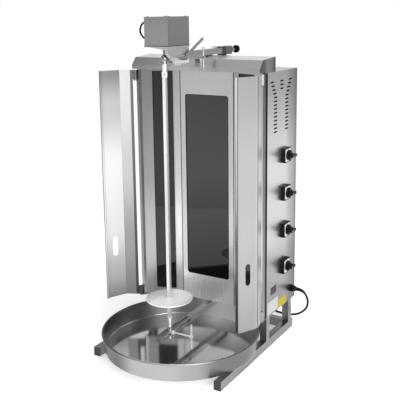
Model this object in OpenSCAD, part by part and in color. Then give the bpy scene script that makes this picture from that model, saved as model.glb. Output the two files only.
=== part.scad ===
// Electric doner kebab grill: a tall heated cabinet behind a turning spit, over a round drip pan.
// Units are millimetres. X runs to the right, Y to the back, Z up, and the floor is at Z = 0.

/* [Cabinet] */
// Width over the two side panels
cabinet_w = 500; // [460:10:560]
// Depth of the side panels
cabinet_d = 240; // [220:10:280]
// Height of the top edge of the side panels
cabinet_top = 963; // [940:1:980]
// Height of the bottom edge of the side panels
cabinet_bottom = 115; // [113:1:125]
// Thickness of the cabinet sheet
sheet = 1.5; // [1:0.5:2]

/* [Stand] */
// How far the two floor rails reach in front of the middle of the base
rail_front = 275; // [262:1:320]
// Width of the square rails and legs
tube_w = 25; // [20:1:30]
// Height of the floor rails
rail_h = 30; // [25:1:32]
// Wall of the rails and legs
tube_wall = 2; // [1.5:0.5:3]

/* [Spit] */
// Distance of the spit in front of the middle of the base
spit_y = 175; // [160:1:190]
// Side of the square spit
spit_side = 11; // [9:0.5:12]
// Diameter of the meat disc
disc_d = 156; // [120:2:180]
// Height of the top of the meat disc
disc_top = 224; // [200:1:300]

/* [Pan] */
// Radius of the pan at the outside of its rolled rim
pan_r = 273; // [240:1:274]
// Height of the top of the rolled rim
pan_top = 91.5; // [70:0.5:92]

/* [Doors] */
// Width of the door leaf beside the hinge
leaf_in = 56; // [40:1:70]
// Width of the outer door leaf
leaf_out = 81; // [60:1:90]
// Bend between the two door leaves in degrees
leaf_bend = 38.5; // [20:0.5:50]
// How far the left door stands open at rest in degrees
left_open = 64; // [0:1:70]
// How far the right door stands open at rest in degrees
right_open = 12; // [0:1:20]

/* [Switches] */
// Side of the square switch boxes
switch_side = 50; // [44:1:56]
// Diameter of the knob's round base
knob_d = 36; // [30:1:42]
// Distance between two switches
switch_pitch = 134; // [120:1:140]

/* [Cord] */
// Diameter of the mains cord
cord_d = 8; // [7:0.5:9]
// Mean radius of the tied coil
coil_r = 44; // [40:1:48]

/* [Hidden] */

$fn = 48;
eps = 0.01;

// Colours of the parts
steel = "silver";
bright = "gainsboro";
dark = "dimgray";
black = "black";
smoke = "darkslategray";
white = "white";

// Cabinet places
half_w = cabinet_w / 2;
inner_x = half_w - sheet;
front_y = 52;
back_y = front_y + cabinet_d;
rear_in = back_y - sheet;
floor_z = cabinet_bottom + 5;
floor_top = floor_z + sheet;
roof_z = cabinet_top - sheet;
centre_half = 107;
centre_y = 83;
post_w = 10;
wing_end_x = half_w - post_w;
wing_end_y = 35;
wing_run = wing_end_x - centre_half;
wing_rise = centre_y - wing_end_y;
wing_l = sqrt(wing_run * wing_run + wing_rise * wing_rise);
wing_angle = atan(wing_rise / wing_run);
panel_h = roof_z - floor_top;

// Rails and legs
cap_t = 3;
rail_inset = 17;
rail_back = back_y - rail_inset;
rear_leg_y = rail_back - tube_w - 12;
cross_y = rail_back - tube_w - 5;

// Hinges and doors
hinge_x = half_w;
hinge_y = 13;
hinge_pin_r = 3;
door_z0 = floor_z + 1;
door_z1 = cabinet_top - 2;
door_t = 1.2;
knuckle_r = 5;
knuckle_h = 34;
slot_z = 316;
slot_w = 20;
slot_h = 74;
slot_from_bend = 40;

// Hood section in Y and Z
hood_front = -5;
lip_z = cabinet_top + 3;
lip_top = lip_z + 14;
hood_top = lip_top + 26;
hood_rise = 6.5;
fascia_y = 18;
hood_back = 111;
function hood_at(y) = hood_top + hood_rise * (y - fascia_y) / (hood_back - fascia_y);

// Slide bar, carriage and motor
bar_w = 20;
bar_z = hood_top + 18;
bar_front = -spit_y + 17;
bar_back = 252;
guide_y = 195;
guide_gap = 0.1;
screw_y = -spit_y + 63;
screw_z = bar_z - 5;
box_x0 = -60;
box_x1 = 30;
box_y0 = -spit_y - 20;
box_y1 = -spit_y + 102;
box_z0 = bar_z + 32;
box_z1 = box_z0 + 91;
bell_z = bar_z - 24;

// Lower arm
arm_w = 20;
arm_z = 93;
arm_front = -spit_y - 72;
arm_back = 230;
slot_front = -spit_y - 53;
slot_back = -60;
arm_wall = 2;
arm_slot = 8.6;
lower_screw_z = 103;

// Switches and gland
switch_y = 187;
switch_z = 670;
switch_depth = 15;
gland_y = 258;
gland_z = 156;

// Box with its corner at a point
module box(x0, x1, y0, y1, z0, z1) {
    translate([x0, y0, z0]) cube([x1 - x0, y1 - y0, z1 - z0]);
}

// Cylinder along X
module rod_x(r, x0, x1, y, z) {
    translate([x0, y, z]) rotate([0, 90, 0]) cylinder(r = r, h = x1 - x0);
}

// Cylinder along Y
module rod_y(r, y0, y1, x, z) {
    translate([x, y0, z]) rotate([-90, 0, 0]) cylinder(r = r, h = y1 - y0);
}

// Cylinder along Z
module rod_z(r, z0, z1, x, y) {
    translate([x, y, z0]) cylinder(r = r, h = z1 - z0);
}

// Flat shape given in Y and Z, made thick along X
module plate_yz(x0, x1, points) {
    translate([x0, 0, 0]) rotate([90, 0, 90]) linear_extrude(x1 - x0) polygon(points);
}

// Round-cornered window outline
module window(w, h, r) {
    union() {
        translate([-w / 2 + r, -h / 2]) square([w - 2 * r, h]);
        translate([-w / 2, -h / 2 + r]) square([w, h - 2 * r]);
        for (x = [-1, 1], y = [-1, 1]) {
            translate([x * (w / 2 - r), y * (h / 2 - r)]) circle(r = r, $fn = 24);
        }
    }
}

// The same part on the left, mirrored
module on_left() {
    mirror([1, 0, 0]) children();
}

// One floor rail with its two legs welded on
module stand_side() {
    color(steel) {
        difference() {
            box(half_w - tube_w, half_w, -rail_front + cap_t, rail_back - cap_t, 0, rail_h);
            box(half_w - tube_w + tube_wall, half_w - tube_wall, -rail_front, rail_back,
                tube_wall, rail_h - tube_wall);
        }
        for (y = [front_y, rear_leg_y]) {
            difference() {
                box(half_w - tube_w, half_w, y, y + tube_w, rail_h, floor_z);
                box(half_w - tube_w + tube_wall, half_w - tube_wall, y + tube_wall,
                    y + tube_w - tube_wall, rail_h + eps, floor_z + 1);
                box(inner_x, half_w + 1, y - 1, y + tube_w + 1, cabinet_bottom, floor_z + 1);
            }
        }
    }
}

module right_stand() {
    stand_side();
}

module left_stand() {
    on_left() stand_side();
}

module rear_cross_tube() {
    x = half_w - tube_w;
    color(steel) difference() {
        box(-x, x, cross_y, cross_y + tube_w, 0, rail_h);
        box(-x - 1, x + 1, cross_y + tube_wall, cross_y + tube_w - tube_wall,
            tube_wall, rail_h - tube_wall);
    }
}

// Plastic plug in each open end of the rails
module rail_end_caps() {
    plug = tube_wall + 0.1;
    plug_l = 10;
    color(dark) for (x = [-1, 1], y = [-1, 1]) {
        end = y < 0 ? rail_front : rail_back;
        mirror([x < 0 ? 1 : 0, 0, 0]) mirror([0, y < 0 ? 1 : 0, 0]) union() {
            box(half_w - tube_w, half_w, end - cap_t, end, 0, rail_h);
            box(half_w - tube_w + plug, half_w - plug, end - cap_t - plug_l, end - cap_t + eps,
                plug, rail_h - plug);
        }
    }
}

// Heights and places of the cooling slots in a side panel
vent_pitch = 13;
vent_top = cabinet_top - 34;
vent_step = 8.3;
vent_low = 3;
vent_left_y = 114;
vent_right_y = 205;
vent_mid_y = 163;
vent_w = 24;
vent_h = 4;

// One horizontal slot with round ends
module vent_slot(y, z) {
    r = vent_h / 2;
    union() {
        box(half_w - 5, half_w + 5, y - vent_w / 2 + r, y + vent_w / 2 - r, z - r, z + r);
        for (s = [-1, 1]) {
            rod_x(r, half_w - 5, half_w + 5, y + s * (vent_w / 2 - r), z, $fn = 16);
        }
    }
}

// The slots stand in two columns that lean together at the top
module vent_field() {
    for (i = [0:13]) {
        lean = max(0, vent_low + 1 - i) * vent_step * 0.85;
        z = vent_top - i * vent_pitch;
        vent_slot(vent_left_y - lean, z);
        vent_slot(vent_right_y + lean, z);
        if (i < 3) {
            vent_slot(vent_mid_y, z);
        }
    }
}

// A side panel folded inwards along its front and back edges
module side_sheet() {
    color(bright) difference() {
        union() {
            box(inner_x, half_w, front_y, rear_in, cabinet_bottom, cabinet_top);
            box(inner_x - 12, inner_x + eps, front_y, front_y + sheet, floor_top, roof_z);
            box(inner_x - 12, inner_x + eps, rear_in - sheet, rear_in, floor_top, roof_z);
        }
        vent_field();
        children();
    }
}

module right_side_panel() {
    side_sheet() {
        for (i = [0:3]) {
            rod_x(11, half_w - 5, half_w + 5, switch_y, switch_z - i * switch_pitch);
        }
        rod_x(10, half_w - 5, half_w + 5, gland_y, gland_z);
    }
}

module left_side_panel() {
    on_left() side_sheet();
}

module rear_panel() {
    color(bright) difference() {
        box(-half_w, half_w, rear_in, back_y, cabinet_bottom, cabinet_top);
        for (i = [0:7], x = [-120, 0, 120]) {
            box(x - 40, x + 40, rear_in - 1, back_y + 1, 800 + i * 15, 804 + i * 15);
        }
    }
}

// Outline of the floor and the roof, behind the three heated walls
module chamber_plan() {
    y_in = sheet / cos(wing_angle);
    polygon([[-inner_x, front_y + sheet], [-wing_end_x, front_y + sheet],
             [-wing_end_x, wing_end_y + y_in], [-centre_half, centre_y + y_in],
             [centre_half, centre_y + y_in], [wing_end_x, wing_end_y + y_in],
             [wing_end_x, front_y + sheet], [inner_x, front_y + sheet],
             [inner_x, rear_in], [-inner_x, rear_in]]);
}

module floor_panel() {
    color(steel) translate([0, 0, floor_z]) linear_extrude(sheet) chamber_plan();
}

module roof_panel() {
    color(bright) difference() {
        translate([0, 0, roof_z]) linear_extrude(sheet) chamber_plan();
        rod_z(12, roof_z - 1, cabinet_top + 1, -140, 150);
    }
}

// Folded hood: lip, sloping front, flat top and back, closed by its two ends
module hood() {
    s = sheet;
    color(bright) union() {
        plate_yz(-half_w + s, half_w - s,
            [[hood_front, lip_z], [hood_front, lip_top], [fascia_y, hood_top],
             [hood_back, hood_at(hood_back)], [hood_back, cabinet_top],
             [hood_back - s, cabinet_top], [hood_back - s, hood_at(hood_back) - s - 0.1],
             [fascia_y + 0.6, hood_top - s],
             [hood_front + s, lip_top - 0.6], [hood_front + s, lip_z + s],
             [hood_front + 17, lip_z + s], [hood_front + 17, lip_z]]);
        for (side = [-1, 1]) {
            x0 = side < 0 ? -half_w : half_w - s - eps;
            plate_yz(x0, x0 + s + eps,
                [[hood_front, lip_z], [hood_front, lip_top], [fascia_y, hood_top],
                 [hood_back, hood_at(hood_back)], [hood_back, cabinet_top],
                 [front_y - 8, cabinet_top], [hood_front + 20, lip_z]]);
        }
    }
}

// Middle heated wall with its window
window_w = 172;
window_h = 661;
window_z = 545.5;
module centre_panel() {
    color(bright) translate([0, centre_y + sheet, 0]) rotate([90, 0, 0]) linear_extrude(sheet)
        difference() {
            translate([-centre_half + 0.3, floor_z]) square([2 * centre_half - 0.6, roof_z - floor_z]);
            translate([0, window_z]) window(window_w, window_h, 9);
        }
}

// Places along a wing, measured from its seam with the middle wall
wing_glass_0 = 27;
wing_glass_1 = 101;
wing_glass_z = 147;

// Side heated wall: it turns forwards and ends in a folded post that carries the hinges
module wing_sheet() {
    post_x = wing_end_x;
    color(steel) union() {
        translate([centre_half, centre_y, 0]) rotate([0, 0, -wing_angle]) difference() {
            box(0.5, wing_l + 0.8, 0, sheet, floor_top, roof_z);
            box(wing_glass_0, wing_glass_1, -1, sheet + 1, wing_glass_z, roof_z - 6);
        }
        difference() {
            box(post_x, half_w, hinge_y + 7, front_y, cabinet_bottom, roof_z);
            box(post_x + sheet, inner_x, hinge_y + 7 + sheet, front_y + 1, cabinet_bottom - 1,
                roof_z + 1);
        }
        for (z = [door_z0 - 4, door_z1 - knuckle_h - 4]) {
            hinge_lug(z + 0.2);
        }
    }
}

// Lug on the post that holds a hinge pin upright
module hinge_lug(z) {
    difference() {
        union() {
            box(hinge_x - 6, hinge_x, hinge_y, hinge_y + 7 + eps, z, z + 3.6);
            rod_z(6, z, z + 3.6, hinge_x, hinge_y);
        }
        rod_z(hinge_pin_r, z - 1, z + 5, hinge_x, hinge_y);
    }
}

module right_wing_panel() {
    wing_sheet();
}

module left_wing_panel() {
    on_left() wing_sheet();
}

// Heat-proof glass behind each window
module centre_glass() {
    y = centre_y + sheet;
    color(smoke) box(-window_w / 2 - 8, window_w / 2 + 8, y, y + 4,
        window_z - window_h / 2 - 8, window_z + window_h / 2 + 8);
}

module wing_glass() {
    color(smoke) translate([centre_half, centre_y, 0]) rotate([0, 0, -wing_angle])
        box(wing_glass_0 - 8, wing_glass_1 + 8, sheet, sheet + 4, wing_glass_z - 8, roof_z - 0.5);
}

module right_glass() {
    wing_glass();
}

module left_glass() {
    on_left() wing_glass();
}

// Sheathed heating element: upright runs joined by half rings, seen from the front
module heater(runs, pitch, length, r) {
    x0 = -(runs - 1) * pitch / 2;
    for (i = [0:runs - 1]) {
        rod_z(r, 0, length, x0 + i * pitch, 0, $fn = 24);
        if (i < runs - 1) {
            up = i % 2 == 0;
            translate([x0 + (i + 0.5) * pitch, 0, up ? length : 0]) rotate([90, 0, 0])
                rotate([0, 0, up ? 0 : 180]) rotate_extrude(angle = 180, $fn = 48)
                    translate([pitch / 2, 0]) circle(r = r, $fn = 24);
        }
    }
    for (x = [x0, x0 + (runs - 1) * pitch]) {
        rod_z(r + 2, -20, 0.5, x, 0, $fn = 24);
    }
}

heater_r = 4;
heater_depth = 30;
heater_y = centre_y + heater_depth;
heater_run = 250;
heater_runs = 6;
heater_pitch = 28;
upper_heater_z = 590;
lower_heater_z = 260;
wing_heater_z = 240;
wing_heater_run = 600;
wing_heater_runs = 4;
wing_heater_pitch = 20;
stay_inset = 30;

// Distance bolts hold each element off the shield behind it
module heater_stays(x, z_low, z_high, y_back) {
    for (z = [z_low, z_high]) {
        rod_y(2.5, heater_r - 0.5, y_back, x, z, $fn = 16);
    }
}

module hung_heater(runs, pitch, run) {
    heater(runs, pitch, run, heater_r);
    for (x = [-(runs - 1) * pitch / 2, (runs - 1) * pitch / 2]) {
        heater_stays(x, stay_inset, run - stay_inset, shield_gap);
    }
}

shield_gap = 14;

module upper_heater() {
    color(dark) translate([0, heater_y, upper_heater_z])
        hung_heater(heater_runs, heater_pitch, heater_run);
}

module lower_heater() {
    color(dark) translate([0, heater_y, lower_heater_z])
        hung_heater(heater_runs, heater_pitch, heater_run);
}

module wing_heater() {
    color(dark) translate([centre_half, centre_y, wing_heater_z]) rotate([0, 0, -wing_angle])
        translate([(wing_glass_0 + wing_glass_1) / 2, heater_depth, 0])
            hung_heater(wing_heater_runs, wing_heater_pitch, wing_heater_run);
}

module right_heater() {
    wing_heater();
}

module left_heater() {
    on_left() wing_heater();
}

// Point on the right side of the chamber, a run along the wing and a depth behind it
function behind_wing(run, depth) = [
    centre_half + run * cos(wing_angle) + depth * sin(wing_angle),
    centre_y - run * sin(wing_angle) + depth * cos(wing_angle)];
function behind_seam(depth) = [centre_half + depth * tan(wing_angle / 2), centre_y + depth];
function flipped(p) = [-p[0], p[1]];

// Bright shield folded round the back of the elements
module heat_shield() {
    t = 1;
    d = heater_depth + shield_gap;
    end = wing_l - 10;
    near = [behind_seam(d), behind_wing(end, d)];
    far = [behind_wing(end, d + t), behind_seam(d + t)];
    color(bright) translate([0, 0, floor_top]) linear_extrude(panel_h)
        polygon([near[0], near[1], far[0], far[1],
                 flipped(far[1]), flipped(far[0]), flipped(near[1]), flipped(near[0])]);
}

module terminal_block() {
    color(white) difference() {
        box(inner_x - 78, inner_x - 18, 200, 225, floor_top, floor_top + 22);
        for (i = [0:4]) {
            rod_z(3, floor_top + 12, floor_top + 30, inner_x - 70 + i * 11, 212, $fn = 24);
        }
    }
}

// Square switch boxes with their bodies behind the panel
module switch_box(z) {
    s = switch_side / 2;
    x1 = half_w + switch_depth;
    difference() {
        union() {
            box(half_w, x1, switch_y - s, switch_y + s, z - s, z + s);
            rod_x(10.8, half_w - 20, half_w + eps, switch_y, z);
            box(half_w - 45, half_w - 20 + eps, switch_y - 18, switch_y + 18, z - 18, z + 18);
        }
        rod_x(3.05, half_w - 12, x1 + 1, switch_y, z);
    }
}

module switch_boxes() {
    color(black) for (i = [0:3]) {
        switch_box(switch_z - i * switch_pitch);
    }
}

// Knob with a round base, a bar grip and the spindle that it turns
knob_x = half_w + switch_depth + 0.3;
module knob(z) {
    color(black) union() {
        rod_x(knob_d / 2, knob_x, knob_x + 8, switch_y, z);
        rod_x(knob_d / 2 - 3, knob_x + 7.9, knob_x + 11, switch_y, z);
        box(knob_x + 10.9, knob_x + 26, switch_y - knob_d / 2 + 1, switch_y + knob_d / 2 - 1,
            z - 4.5, z + 4.5);
        rod_x(3, knob_x - 20, knob_x + 0.1, switch_y, z);
    }
}

module top_knob() {
    knob(switch_z);
}

module second_knob() {
    knob(switch_z - switch_pitch);
}

module third_knob() {
    knob(switch_z - 2 * switch_pitch);
}

module bottom_knob() {
    knob(switch_z - 3 * switch_pitch);
}

// Gland that grips the mains cord
gland_end = half_w + 22;
module cable_gland() {
    color(black) difference() {
        union() {
            rod_x(9.9, half_w - 12, half_w + eps, gland_y, gland_z);
            translate([half_w, gland_y, gland_z]) rotate([0, 90, 0]) cylinder(r = 14, h = 8, $fn = 6);
            rod_x(11, half_w + 7.9, half_w + 16, gland_y, gland_z);
            translate([half_w + 15.9, gland_y, gland_z]) rotate([0, 90, 0])
                cylinder(r1 = 11, r2 = 7, h = 6.1);
        }
        rod_x(cord_d / 2 + 0.05, half_w - 13, gland_end + 1, gland_y, gland_z);
    }
}

// Round tube swept along points; each ring keeps the turn of the one before it
function unit(v) = v / norm(v);
function way(p, i) = unit(p[min(i + 1, len(p) - 1)] - p[max(i - 1, 0)]);
function carried(u, t) = unit(u - t * (u * t));
function sides(p, i, u) = i >= len(p) ? [] : concat([u], sides(p, i + 1,
    i + 1 < len(p) ? carried(u, way(p, i + 1)) : u));
module tube_along(p, r, n) {
    u = sides(p, 0, carried(abs(way(p, 0)[2]) > 0.9 ? [1, 0, 0] : [0, 0, 1], way(p, 0)));
    rings = [for (i = [0:len(p) - 1]) for (k = [0:n - 1])
        let (a = 360 * k / n, w = cross(way(p, i), u[i])) p[i] + r * (cos(a) * u[i] + sin(a) * w)];
    last = (len(p) - 1) * n;
    faces = concat([[for (k = [n - 1:-1:0]) k]],
        [for (i = [0:len(p) - 2]) for (k = [0:n - 1])
            [i * n + k, i * n + (k + 1) % n, (i + 1) * n + (k + 1) % n, (i + 1) * n + k]],
        [[for (k = [0:n - 1]) last + k]]);
    polyhedron(rings, faces);
}

// Smooth curve through hand-chosen points
function blend4(a, b, c, d, t) = 0.5 * (2 * b + (c - a) * t + (2 * a - 5 * b + 4 * c - d) * t * t
    + (3 * b - a - 3 * c + d) * t * t * t);
function smooth(p, n) = concat([for (i = [0:len(p) - 2]) for (k = [0:n - 1])
    blend4(p[max(i - 1, 0)], p[i], p[i + 1], p[min(i + 2, len(p) - 1)], k / n)], [p[len(p) - 1]]);

floor_cord = cord_d / 2 + 0.2;
coil_x = 20;
coil_y = 418;
coil_turns = 5;
coil_pitch = cord_d + 0.6;
coil_start = coil_y - coil_r;

// Free cord from the gland down to the floor and round to the coil
cord_path = [[gland_end - 26, gland_y, gland_z], [gland_end - 13, gland_y, gland_z],
             [gland_end + 1, gland_y, gland_z], [289, 259, 154], [302, 261, 146], [310, 265, 132],
             [312, 271, 115], [309, 279, 97], [301, 289, 79], [289, 300, 62], [273, 311, 46],
             [254, 322, 31], [231, 333, 19], [205, 343, 10], [176, 352, 5.6],
             [146, 359, 4.3], [115, 365, floor_cord], [85, 370, floor_cord], [56, 373, floor_cord],
             [coil_x + cord_d, coil_start, floor_cord]];
module mains_cord() {
    color(black) tube_along(smooth(cord_path, 3), cord_d / 2, 8);
}

// The tied coil climbs one cord for each turn
coil_steps = 24 * coil_turns;
coil_top = floor_cord + coil_turns * coil_pitch;
coil_path = concat([[coil_x + cord_d, coil_start, floor_cord]],
    [for (i = [0:coil_steps]) let (a = -90 - 360 * i / 24)
        [coil_x + coil_r * cos(a), coil_y + coil_r * sin(a), floor_cord + coil_pitch * i / 24]],
    [[coil_x - cord_d, coil_start, coil_top]]);
coil_gap = coil_pitch - cord_d;
echo(coil_self_gap = coil_gap);
module cord_coil() {
    color(black) tube_along(coil_path, cord_d / 2, 6);
}

// Last stretch from the coil down to the plug
plug_x = -150;
plug_y = 382;
plug_r = 18;
tail_path = [[coil_x - cord_d, coil_start, coil_top], [coil_x - 40, coil_start, coil_top],
             [coil_x - 70, 376, 38], [coil_x - 98, 379, 27], [coil_x - 124, 381, 20],
             [plug_x + 20, plug_y, plug_r], [plug_x + 6, plug_y, plug_r]];
module plug_tail() {
    color(black) tube_along(smooth(tail_path, 4), cord_d / 2, 8);
}

// Strap round the turns of the coil
module cord_tie() {
    x = coil_x - coil_r;
    r = cord_d / 2;
    low = 0.1;
    high = coil_top + r - 0.75 * coil_pitch;
    color(dark) difference() {
        box(x - r - 1.6, x + r + 1.6, coil_y - 4, coil_y + 4, 0, high + 1.4);
        box(x - r - 0.1, x + r + 0.1, coil_y - 5, coil_y + 5, low, high);
    }
}

// Moulded two-pin plug lying on the floor
module mains_plug() {
    color(black) translate([plug_x, plug_y, plug_r]) mirror([1, 0, 0]) difference() {
        union() {
            rod_x(6, -24, -4, 0, 0, $fn = 32);
            translate([-4.1, 0, 0]) rotate([0, 90, 0]) cylinder(r1 = 9, r2 = plug_r, h = 14);
            rod_x(plug_r, 9.9, 30, 0, 0);
            for (y = [-9.5, 9.5]) {
                rod_x(2.4, 29.9, 49, y, 0, $fn = 24);
            }
        }
        rod_x(cord_d / 2 + 0.05, -25, -6, 0, 0, $fn = 32);
    }
}

// Three bare label plates low on the right side, each with its reach in Y and in Z
label_t = 0.5;
label_places = [[85, 129, 186, 214], [149, 215, 116, 149], [59, 145, 121, 166]];
module blank_labels() {
    color(white) for (p = label_places) {
        box(half_w, half_w + label_t, p[0], p[1], p[2], p[3]);
    }
}

// Dome-headed screws that hold the cabinet sheets
screw_head_h = 2;
module dome_screw(r) {
    cylinder(r1 = r, r2 = r * 0.6, h = screw_head_h, $fn = 24);
}

module panel_screws() {
    color(bright) {
        for (x = [-1, 1], z = [cabinet_bottom + 25, 400, 660, cabinet_top - 23]) {
            translate([x * (half_w - 8), back_y, z]) rotate([-90, 0, 0]) dome_screw(4);
        }
        for (x = [-0.73, 0.73]) {
            translate([x * half_w, hood_back, cabinet_top + 22]) rotate([-90, 0, 0]) dome_screw(4);
            translate([x * half_w, back_y - 7, cabinet_top]) dome_screw(4);
        }
    }
}

module hinge_pins() {
    color(steel) for (x = [-1, 1], z = [door_z0, door_z1 - knuckle_h]) {
        rod_z(hinge_pin_r, z - 4 + 0.2, z + knuckle_h - 6, x * hinge_x, hinge_y, $fn = 32);
    }
}

// Door section: inner leaf, outer leaf turned in by leaf_bend, and its turned-back free edge
door_hem = 13;
function outer_at(x, y) = [x * cos(leaf_bend) + y * sin(leaf_bend),
                           y * cos(leaf_bend) - x * sin(leaf_bend) - leaf_in];
module door_section() {
    t = door_t / 2;
    mitre = t * tan(leaf_bend / 2);
    top = -knuckle_r + 1.2;
    polygon([[t, top], [t, -leaf_in - mitre], outer_at(t, -leaf_out), outer_at(-door_hem, -leaf_out),
             outer_at(-door_hem, door_t - leaf_out), outer_at(-t, door_t - leaf_out),
             [-t, mitre - leaf_in], [-t, top]]);
}

// Round-ended slot that the door is pulled by, cut through the outer leaf
module pull_slot() {
    w = slot_w / 2;
    end = slot_h / 2 - w;
    translate([0, -leaf_in, slot_z - door_z0]) rotate([0, 0, -leaf_bend])
        translate([-2, -slot_from_bend, 0]) rotate([90, 0, 90]) linear_extrude(4) union() {
            translate([-w, -end]) square([slot_w, 2 * end]);
            for (s = [-1, 1]) {
                translate([0, s * end]) circle(r = w, $fn = 32);
            }
        }
}

// Two-leaf door, drawn with its hinge at the origin and its inner leaf along -Y
module door_sheet() {
    h = door_z1 - door_z0;
    difference() {
        union() {
            linear_extrude(h) door_section();
            for (z = [0, h - knuckle_h]) {
                rod_z(knuckle_r, z, z + knuckle_h, 0, 0, $fn = 32);
            }
        }
        pull_slot();
        for (z = [0, h - knuckle_h]) {
            rod_z(hinge_pin_r + 0.05, z - 1, z + knuckle_h - 5, 0, 0, $fn = 32);
        }
        box(-3, 3, -9, 6, knuckle_h, h - knuckle_h);
    }
}

module right_door() {
    color(bright) translate([hinge_x, hinge_y, door_z0]) rotate([0, 0, right_open]) door_sheet();
}

module left_door() {
    color(bright) on_left() translate([hinge_x, hinge_y, door_z0]) rotate([0, 0, left_open])
        door_sheet();
}

// Square bar that the motor carriage slides along
bar_wall = 2;
bar_plug = 14;
module slide_bar() {
    r = bar_w / 2;
    in = r - bar_wall;
    color(steel) difference() {
        box(-r, r, bar_front, bar_back, bar_z - r, bar_z + r);
        box(-in, in, bar_front - 1, bar_back - bar_plug, bar_z - in, bar_z + in);
        rod_y(tail_r + 0.05, bar_back - bar_plug - 1, bar_back + 1, 0, bar_z);
    }
}

// Wear pad on the hood and square guide on the roof: the bar slides on one and in the other
pad_y = 92;
pad_l = 16;
guide_l = 52;
guide_w = 29;
bracket_t = 3;
bracket_w = 36;
lip_l = 42;
module bar_supports() {
    in = bar_w / 2 + guide_gap;
    low = bar_z - in;
    out = guide_w / 2;
    b = bracket_w / 2;
    end = pad_y + pad_l;
    color(steel) {
        plate_yz(-out, out, [[pad_y, hood_at(pad_y)], [end, hood_at(end)], [end, low], [pad_y, low]]);
        difference() {
            union() {
                box(-b, b, guide_y, guide_y + bracket_t, cabinet_top, bar_z + out);
                box(-b, b, guide_y, guide_y + 26, cabinet_top, cabinet_top + bracket_t);
                box(-b, b, guide_y - lip_l, guide_y + bracket_t, bar_z + out - 2, bar_z + out);
                box(-out, out, guide_y, guide_y + guide_l, bar_z - out, bar_z + out);
            }
            box(-in, in, guide_y - 1, guide_y + guide_l + 1, bar_z - in, bar_z + in);
        }
    }
}

// Tail screw in the end of the bar, with its lock nut
tail_r = 5;
tail_l = 50;
module draw_screw() {
    color(bright) union() {
        rod_y(tail_r, bar_back - bar_plug + 0.5, bar_back + tail_l, 0, bar_z);
        translate([0, bar_back + 12, bar_z]) rotate([-90, 0, 0]) cylinder(r = 9.5, h = 8, $fn = 6);
    }
}

// Round black grip on the tail screw
module tail_knob() {
    end = bar_back + tail_l;
    color(black) difference() {
        union() {
            rod_y(14, end - 2, end + 6, 0, bar_z);
            rod_y(8, end - 12, end - 1.9, 0, bar_z);
        }
        rod_y(tail_r, end - 13, end, 0, bar_z);
    }
}

// Bent bracket that carries the motor box on the bar, drawn from the spit axis and the bell's foot
carriage_t = 3;
carriage_in = 27;
carriage_h = box_z0 - bell_z;
module carriage_side() {
    plate_yz(carriage_in, carriage_in + carriage_t,
        [[-26, carriage_h], [99, carriage_h], [98, 0], [50, 0], [50, -5], [8, -5],
         [4, 11], [-25, 34]]);
}

// Flange folded in along the sloping front edge
module carriage_flange() {
    plate_yz(carriage_in - 8, carriage_in + 0.1,
        [[-26, carriage_h], [-23, carriage_h], [-22, 35.5], [6, 13], [4, 11], [-25, 34]]);
}

// Gusset across the front, just under the box
module carriage_gusset() {
    x = carriage_in + 0.1;
    translate([0, -23, 0]) rotate([90, 0, 0]) linear_extrude(carriage_t)
        polygon([[x, carriage_h - 11], [x, carriage_h], [-55, carriage_h], [-55, carriage_h - 1]]);
}

module carriage() {
    color(steel) difference() {
        union() {
            translate([0, -spit_y, bell_z]) {
                carriage_side();
                carriage_flange();
                carriage_gusset();
                box(-10, carriage_in + 0.1, 27, 97, 0, carriage_t);
            }
            box(box_x0 - 1, box_x1 + 1, box_y0 - 1, box_y1 + 1, box_z0 - carriage_t, box_z0);
        }
        rod_x(clamp_r + 0.05, carriage_in - 1, carriage_in + carriage_t + 1, screw_y, screw_z);
        rod_z(6, box_z0 - carriage_t - 1, box_z0 + 1, 0, -spit_y);
    }
}

// Sleeve that runs on the bar, with a threaded boss for the clamp screw
sleeve_t = 3;
sleeve_l = 75;
clamp_r = 4;
module slide_sleeve() {
    r = bar_w / 2 + guide_gap;
    o = bar_w / 2 + sleeve_t;
    y0 = -spit_y + 20;
    color(steel) difference() {
        union() {
            box(-o, o, y0, y0 + sleeve_l, bar_z - o, bar_z + o);
            rod_x(7, o - 0.1, carriage_in, screw_y, screw_z, $fn = 32);
            box(-10, 10, y0 + 10, y0 + sleeve_l - 10, bell_z + carriage_t, bar_z - o + 0.1);
        }
        box(-r, r, y0 - 1, y0 + sleeve_l + 1, bar_z - r, bar_z + r);
        rod_x(clamp_r + 0.05, 0, carriage_in + 1, screw_y, screw_z, $fn = 32);
    }
}

// Folded cover over the gear motor, open underneath
module motor_box() {
    t = 1.2;
    color(bright) difference() {
        box(box_x0, box_x1, box_y0, box_y1, box_z0, box_z1);
        box(box_x0 + t, box_x1 - t, box_y0 + t, box_y1 - t, box_z0 - 1, box_z1 - t);
        for (z = [lead_exit_z, lead_exit_z - lead_drop]) {
            rod_x(lead_r + 0.1, box_x0 - 1, box_x0 + t + 1, lead_exit_y, z, $fn = 24);
        }
    }
}

module motor_box_screws() {
    edge = 6;
    color(dark) for (p = [[box_x0 + 10, box_y0 + edge], [box_x1 - 14, box_y0 + edge],
                          [box_x1 - edge, box_y0 + 13], [box_x1 - edge, box_y1 - 13],
                          [box_x0 + edge, box_y1 - 13], [box_x0 + 10, box_y1 - edge]]) {
        translate([p[0], p[1], box_z1]) dome_screw(3.4);
    }
}

// Gearbox with its motor lying behind it
gear_l = 59;
module gear_motor() {
    y0 = box_y0 + 4;
    color(dark) difference() {
        union() {
            box(-28, 26, y0, y0 + gear_l, box_z0, box_z0 + 44);
            rod_y(25, y0 + gear_l - 0.1, box_y1 - 7, -2, box_z0 + 28);
            rod_z(16, box_z0 + 43.9, box_z0 + 50, 0, y0 + gear_l / 2);
        }
        rod_z(shaft_r + 0.05, box_z0 - 1, box_z0 + 14, 0, -spit_y);
    }
}

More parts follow.
